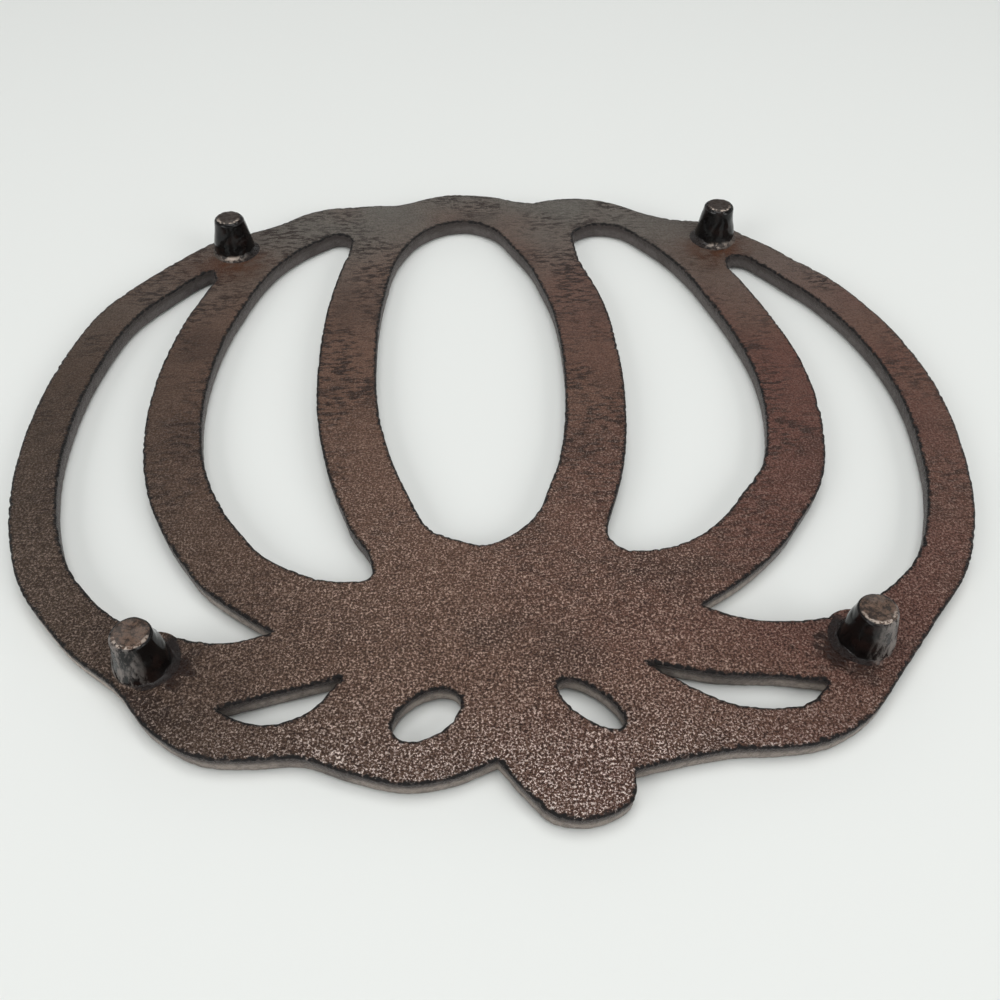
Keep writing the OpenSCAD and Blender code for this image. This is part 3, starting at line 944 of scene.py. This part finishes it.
def coat_colour(f):
    """The slow drift of the coat's brown over the plate, greyer at the far rim as a painted sheen,
    with dark patches.
    """
    drift = f.noise(22, 2)
    red = f.times(f.between(f.axis("X"), -0.03, 0.07), f.between(drift, 0.35, 0.62, 0.35, 1))
    # Painted sheen: greyer towards the far rim.
    far_sheen = f.times(f.between(f.axis("Y"), 0.015, 0.088), f.between(drift, 0.40, 0.65, 1, 0.35))
    lean = f.plus(f.axis("X"), f.times(f.axis("Y"), 0.35))
    colour = f.mix(f.between(lean, -0.105, -0.02, 1, 0), BROWN, OLIVE)
    colour = f.mix(red, colour, REDDISH)
    colour = f.mix(far_sheen, colour, GREY_BROWN_SHEEN)
    patch = f.between(f.noise(38, 3, 0.6, f.stretched((1, 1.6, 1))), 0.50, 0.68, 0, 0.35)
    return f.mix(patch, colour, DARK_COAT_AND_SHADE)


def coat(f):
    """Colour, pale share, grain height and streaks of the coat. The grain is a sum of two noises.
    Its hollows are dark, a painted shade, and its tops are pale, bare iron with painted glints,
    more so near the stem."""
    coarse = f.mark("coarse")
    colour = coat_colour(f)
    streaks = f.noise(1, 4, 0.6, f.stretched((400, 1150, 1150)))
    in_bands = f.between(f.noise(55, 2), 0.40, 0.60, 0.2, 1)
    in_bands = f.times(in_bands, f.between(coarse, 0.5, 0.95, 0.90, 0.1))
    colour = f.mix(f.times(f.between(streaks, 0.47, 0.58), in_bands), colour, DARK_COAT_AND_SHADE)
    grain = f.plus(f.noise(2350, 1, 0.5), f.times(f.noise(5000, 2, 0.6), 0.9))
    clump = f.noise(750, 2)
    # Painted shade: the hollows between the grains are darkened.
    low = f.times(f.between(grain, 0.77, 0.97, 1, 0), f.between(coarse, 0.4, 0.95, 0.30, 0.92))
    low = f.times(low, f.between(clump, 0.40, 0.62, 1.08, 0.80))
    colour = f.mix(low, colour, DARK_COAT_AND_SHADE)
    # Pooled coat and a painted shadow lie black beside the near feet.
    pool = f.mark("pool")
    colour = f.mix(pool, colour, DARK_COAT_AND_SHADE)
    # Pale tops: bare iron and painted glints, most near the stem and in the middle.
    speck_and_glint = f.times(f.between(grain, 0.99, 1.15), f.between(pool, 0.72, 0.90, 1, 0))
    worn_and_lit = f.plus(f.between(coarse, 0.45, 0.8, 0.02, 0.62), f.between(coarse, 0.86, 0.97, 0, 0.35))
    worn_and_lit = f.times(worn_and_lit, f.between(clump, 0.38, 0.62, 0.55, 1.20))
    middle = f.between(f.maths("ABSOLUTE", f.axis("X")), 0.025, 0.055, 1, 0.5)
    bare_and_glint = f.times(speck_and_glint, f.times(worn_and_lit, middle))
    top = f.mix(f.between(coarse, 0.85, 0.97), BARE_BROWN_AND_GLINT, BARE_IRON_AND_GLINT)
    return f.mix(bare_and_glint, colour, top), bare_and_glint, grain, streaks


print("colours of the coat", BROWN, GREY_BROWN_SHEEN, OLIVE, REDDISH)

# %% The finish of the plate
NEARLY_BLACK = (0.004, 0.003, 0.003)
# Wall colours paint light and shade: dark under the arris, grey lower down, and pale on the near
# walls as a painted reflection of the floor, with painted shadow at their foot.
WALL_DARK_AND_SHADE = (0.050, 0.040, 0.037)
WALL_GREY = (0.115, 0.100, 0.095)
WALL_FLOOR_REFLECTION = (0.52, 0.445, 0.385)
RUST = (0.072, 0.026, 0.011)
GRAIN_RELIEF = 0.30 * MM
STREAK_RELIEF = 0.10 * MM
METAL_GAIN = 1.3
PLATE_IOR = 1.33


def wall_colour_and_light(f, edge):
    """Painted light and shade on the walls: dark under the arris, then grey, or pale on the near
    walls, as a painted reflection of the floor, a painted shadow at the foot of the near walls
    and near the stem, and dark blotches.
    """
    near = f.between(f.axis("Y"), -0.052, -0.034, 1, 0)
    # Painted reflection of the floor: lighter down the wall, pale on the near walls.
    wall = f.mix(f.between(edge, 0.8, 2.4), WALL_DARK_AND_SHADE, f.mix(near, WALL_GREY, WALL_FLOOR_REFLECTION))
    # Painted shadow at the foot of the near walls.
    wall = f.mix(f.times(near, f.between(edge, 3.0, 4.2, 0, 0.9)), wall, WALL_DARK_AND_SHADE)
    wall = f.mix(f.between(f.noise(90, 4), 0.45, 0.65, 0, 0.6), wall, WALL_DARK_AND_SHADE)
    wall = f.mix(f.between(f.noise(800, 3), 0.45, 0.65, 0, 0.4), wall, WALL_DARK_AND_SHADE)
    # Painted shade on the walls near the stem.
    return f.mix(f.between(f.axis("Y"), -0.085, -0.045, 0.5, 0), wall, WALL_DARK_AND_SHADE)


def iron_finish():
    """Coat, rust, walls with painted light and shade, and the black line along the arris. The
    black of pooled coat and painted shadow is smooth and glossy.
    """
    f = Finish("brown_coated_iron")
    colour, bare_and_glint, grain, streaks = coat(f)
    rusty = f.times(f.mark("rust"), f.between(f.noise(330, 3), 0.34, 0.55, 0.5, 1))
    colour = f.mix(rusty, colour, RUST)
    side, edge = f.mark("side"), f.mark("edge_mm")
    colour = f.mix(side, colour, wall_colour_and_light(f, edge))
    ragged = f.plus(edge, f.between(f.noise(1100, 2), 0.3, 0.7, -0.3, 0.3))
    line = f.between(ragged, 0.12, 0.65, 1.0, 0.0)
    colour = f.mix(line, colour, NEARLY_BLACK)
    coated = f.most(f.most(side, line), rusty)
    metal = f.times(bare_and_glint, f.maths("SUBTRACT", 1.0, coated))
    # Smoother and glossier where pooled coat and painted shadow lie.
    unpooled = f.between(f.mark("pool"), 0.6, 0.9, 1, 0)
    roughness = f.plus(f.between(grain, 0.8, 1.1, 0.34, 0.12), f.times(unpooled, 0.16))
    normal = f.bump(f.times(grain, f.most(unpooled, 0.2)), GRAIN_RELIEF)
    normal = f.bump(streaks, STREAK_RELIEF, 0.7, normal)
    f.fill(f.shader, {
        "Base Color": colour, "Roughness": roughness, "Normal": normal,
        "Metallic": f.times(metal, METAL_GAIN), "IOR": PLATE_IOR})
    return f.material


iron = iron_finish()
for piece in castings.values():
    piece.data.materials.append(iron)
print("material", iron.name)

# %% [markdown]
# ## The feet's coat
# The coat pooled on the feet's sides and dried glossy, almost black. On the outer side of each
# foot it is grey: it is thin and grey iron shows through, and painted light brightens it. At
# the root it runs out into the plate's own brown, but for the inner side, where pooled coat and
# painted shade darken it. A far foot has a painted highlight arc in front of its root. The tips
# stand on the table in use, so they are worn to a mottled brown, darker on the far feet, with
# pale chips along the near edge that carry a painted highlight too.

# %% The finish of the feet
FOOT_BLACK = (0.003, 0.0025, 0.0025)
FOOT_BROWN = (0.028, 0.013, 0.010)
# POOLED_AND_SHADED_BROWN darkens a root's inner side: pooled coat and painted shade.
POOLED_AND_SHADED_BROWN = (0.007, 0.003, 0.0025)
# WORN_AND_LIT_GREY: worn coat on the tips, and worn coat with painted light on a foot's outer
# side.
WORN_AND_LIT_GREY = (0.22, 0.195, 0.18)
TIP_DARK = (0.027, 0.018, 0.014)
TIP_BROWN = (0.130, 0.082, 0.058)
TIP_FAR = (0.042, 0.033, 0.028)
# PALE_CHIP_AND_HIGHLIGHT: pale chips with a painted highlight on a tip's near edge, and the
# painted highlight arc at a far foot's root.
PALE_CHIP_AND_HIGHLIGHT = (0.50, 0.42, 0.36)
FOOT_RELIEF = 0.04 * MM
FOOT_IOR = 1.36


def tip_colour(f):
    """Mottled brown, darker on the far feet, with greyer blotches."""
    tip_brown = f.mix(f.between(f.axis("Y"), -0.02, 0.02), TIP_BROWN, TIP_FAR)
    mottled = f.mix(f.between(f.noise(900, 4, 0.75), 0.42, 0.60), TIP_DARK, tip_brown)
    return f.mix(f.between(f.noise(330, 2), 0.50, 0.64, 0, 0.18), mottled, WORN_AND_LIT_GREY)


def foot_finish():
    """Black sides, worn grey with painted light on one side, over a root in the plate's coat,
    darker on the inner side with pooled coat and painted shade, a painted highlight arc on the
    far feet, and worn tips with pale chips and a painted highlight.
    """
    f = Finish("dark_coated_foot")
    height = f.mark("height_mm")
    root_colour, bare_and_glint, grain, _ = coat(f)
    patches = f.between(f.noise(300, 3), 0.5, 0.68)
    colour = f.mix(f.times(patches, 0.25), FOOT_BLACK, FOOT_BROWN)
    wavy = f.plus(height, f.between(f.noise(350, 3), 0.3, 0.7, -0.5, 0.5))
    root = f.between(wavy, 0.1, 1.1, 1, 0)
    outer, inner = f.mark("outer"), f.mark("inner")
    brushed = f.noise(1, 4, 0.65, f.stretched((620, 620, 190)))
    # Worn coat and painted light on the outer side, stronger on the near feet.
    near = f.between(f.axis("Y"), -0.02, 0.02, 0.9, 0.25)
    worn_and_lit = f.times(f.times(outer, near), f.between(brushed, 0.42, 0.62))
    colour = f.mix(worn_and_lit, colour, WORN_AND_LIT_GREY)
    # Pooled coat and painted shade on the root's inner side.
    pooled = f.mix(f.between(inner, 0.1, 0.6, 0, 0.95), root_colour, POOLED_AND_SHADED_BROWN)
    colour = f.mix(root, colour, pooled)
    # Painted highlight arc in front of a far foot's root.
    arc = f.times(f.mark("arc"), f.between(f.noise(900, 2), 0.46, 0.58, 0.1, 0.85))
    colour = f.mix(arc, colour, PALE_CHIP_AND_HIGHLIGHT)
    tip = f.mark("tip")
    colour = f.mix(tip, colour, tip_colour(f))
    # Pale chips and a painted highlight along a tip's near edge.
    chips_and_highlight = f.times(f.mark("chipped"), f.between(f.noise(1500, 3), 0.47, 0.55))
    colour = f.mix(chips_and_highlight, colour, PALE_CHIP_AND_HIGHLIGHT)
    gloss = f.between(f.noise(500, 2), 0.35, 0.65, 0.12, 0.24)
    open_root = f.times(root, f.between(inner, 0.1, 0.6, 1, 0.15))
    dull = f.most(f.most(open_root, worn_and_lit), tip)
    roughness = f.plus(gloss, f.times(dull, 0.45))
    rough = f.most(root, f.times(f.most(tip, worn_and_lit), 0.45))
    normal = f.bump(f.times(grain, rough), GRAIN_RELIEF)
    normal = f.bump(f.noise(420, 2), FOOT_RELIEF, 0.6, normal)
    f.fill(f.shader, {
        "Base Color": colour, "Roughness": roughness, "Normal": normal,
        "Metallic": f.times(f.times(bare_and_glint, root), METAL_GAIN), "IOR": FOOT_IOR})
    return f.material


foot_coat = foot_finish()
for piece in feet.values():
    piece.data.materials.append(foot_coat)
print("material", foot_coat.name)

# %% [markdown]
# ## The stage
# The trivet lies on a plain pale floor in soft light. Most of it comes from a broad lamp
# overhead, which keeps the shadows short and makes the grain sparkle near the stem. Two wide
# lamps in front, left and right, light the walls and the outer sides of the feet. The world is
# a studio with pale walls and a darker ceiling. Far from the trivet, where the lamps no longer
# reach, the floor shows the same pale tone as the walls.

# %% Floor
FLOOR_COLOUR = (0.80, 0.82, 0.80, 1)
FLOOR_GLOW_COLOUR = (0.99, 1.0, 0.99, 1)
FLOOR_GLOW = 0.40
FLOOR_ROUGHNESS = 0.8
GLOW_FROM, GLOW_TO = 0.9, 2.2
FLOOR_HALF = 3.0

floor_mesh = bpy.data.meshes.new("floor")
floor_signs = ((-1, -1), (1, -1), (1, 1), (-1, 1))
floor_corners = [(x * FLOOR_HALF, y * FLOOR_HALF, 0) for x, y in floor_signs]
floor_mesh.from_pydata(floor_corners, [], [(0, 1, 2, 3)])
floor = bpy.data.objects.new("floor", floor_mesh)
bpy.context.scene.collection.objects.link(floor)
floor_finish = Finish("pale_floor")
distance = floor_finish.node("VectorMath", {0: floor_finish.place}, operation="LENGTH")
far_away = floor_finish.between(distance.outputs["Value"], GLOW_FROM, GLOW_TO, 0, FLOOR_GLOW)
ray = floor_finish.node("LightPath", {}).outputs
seen = floor_finish.most(ray["Is Camera Ray"], ray["Is Glossy Ray"])
seen = floor_finish.most(seen, ray["Is Transmission Ray"])
floor_finish.fill(floor_finish.shader, {
    "Base Color": FLOOR_COLOUR, "Roughness": FLOOR_ROUGHNESS,
    "Emission Color": FLOOR_GLOW_COLOUR, "Emission Strength": floor_finish.times(seen, far_away)})
floor_mesh.materials.append(floor_finish.material)
print("floor", 2 * FLOOR_HALF, "m")

# %% Lamps
# The place and size of each in metres, and its power in watts.
LAMPS = {
    "overhead": ((0.03, 0.04, 0.95), 0.66, 4.7),
    "left": ((-0.80, -0.62, 0.62), 0.6, 4.1),
    "right": ((0.80, -0.66, 0.62), 0.6, 4.1)}


def soft_lamp(name, place, size, power):
    """A square lamp that faces the trivet's middle."""
    data = bpy.data.lights.new(name, "AREA")
    data.size, data.energy = size, power
    lamp = bpy.data.objects.new(name, data)
    lamp.location = place
    lamp.rotation_euler = (-Vector(place)).to_track_quat("-Z", "Y").to_euler()
    bpy.context.scene.collection.objects.link(lamp)


for name, (place, size, power) in LAMPS.items():
    soft_lamp(name, place, size, power)
print("lamps", len(bpy.data.lights))

# %% World
ROOM_COLOUR = (1.0, 1.0, 0.985, 1)
ROOM_WALL_TONE = 0.70
ROOM_CEILING_TONE = 0.20
CEILING_FROM, CEILING_TO = 0.25, 0.65
world = bpy.data.worlds.new("studio")
world.use_nodes = True
sky = Nodes(world.node_tree)
every_way = sky.node("TexCoord", {}).outputs["Generated"]
direction = sky.node("SeparateXYZ", {"Vector": every_way})
tone = sky.between(
    direction.outputs["Z"], CEILING_FROM, CEILING_TO, ROOM_WALL_TONE, ROOM_CEILING_TONE)
sky.fill(sky.nodes["Background"], {"Color": ROOM_COLOUR, "Strength": tone})
bpy.context.scene.world = world
bpy.context.scene.view_settings.view_transform = "Standard"
print("world", world.name)
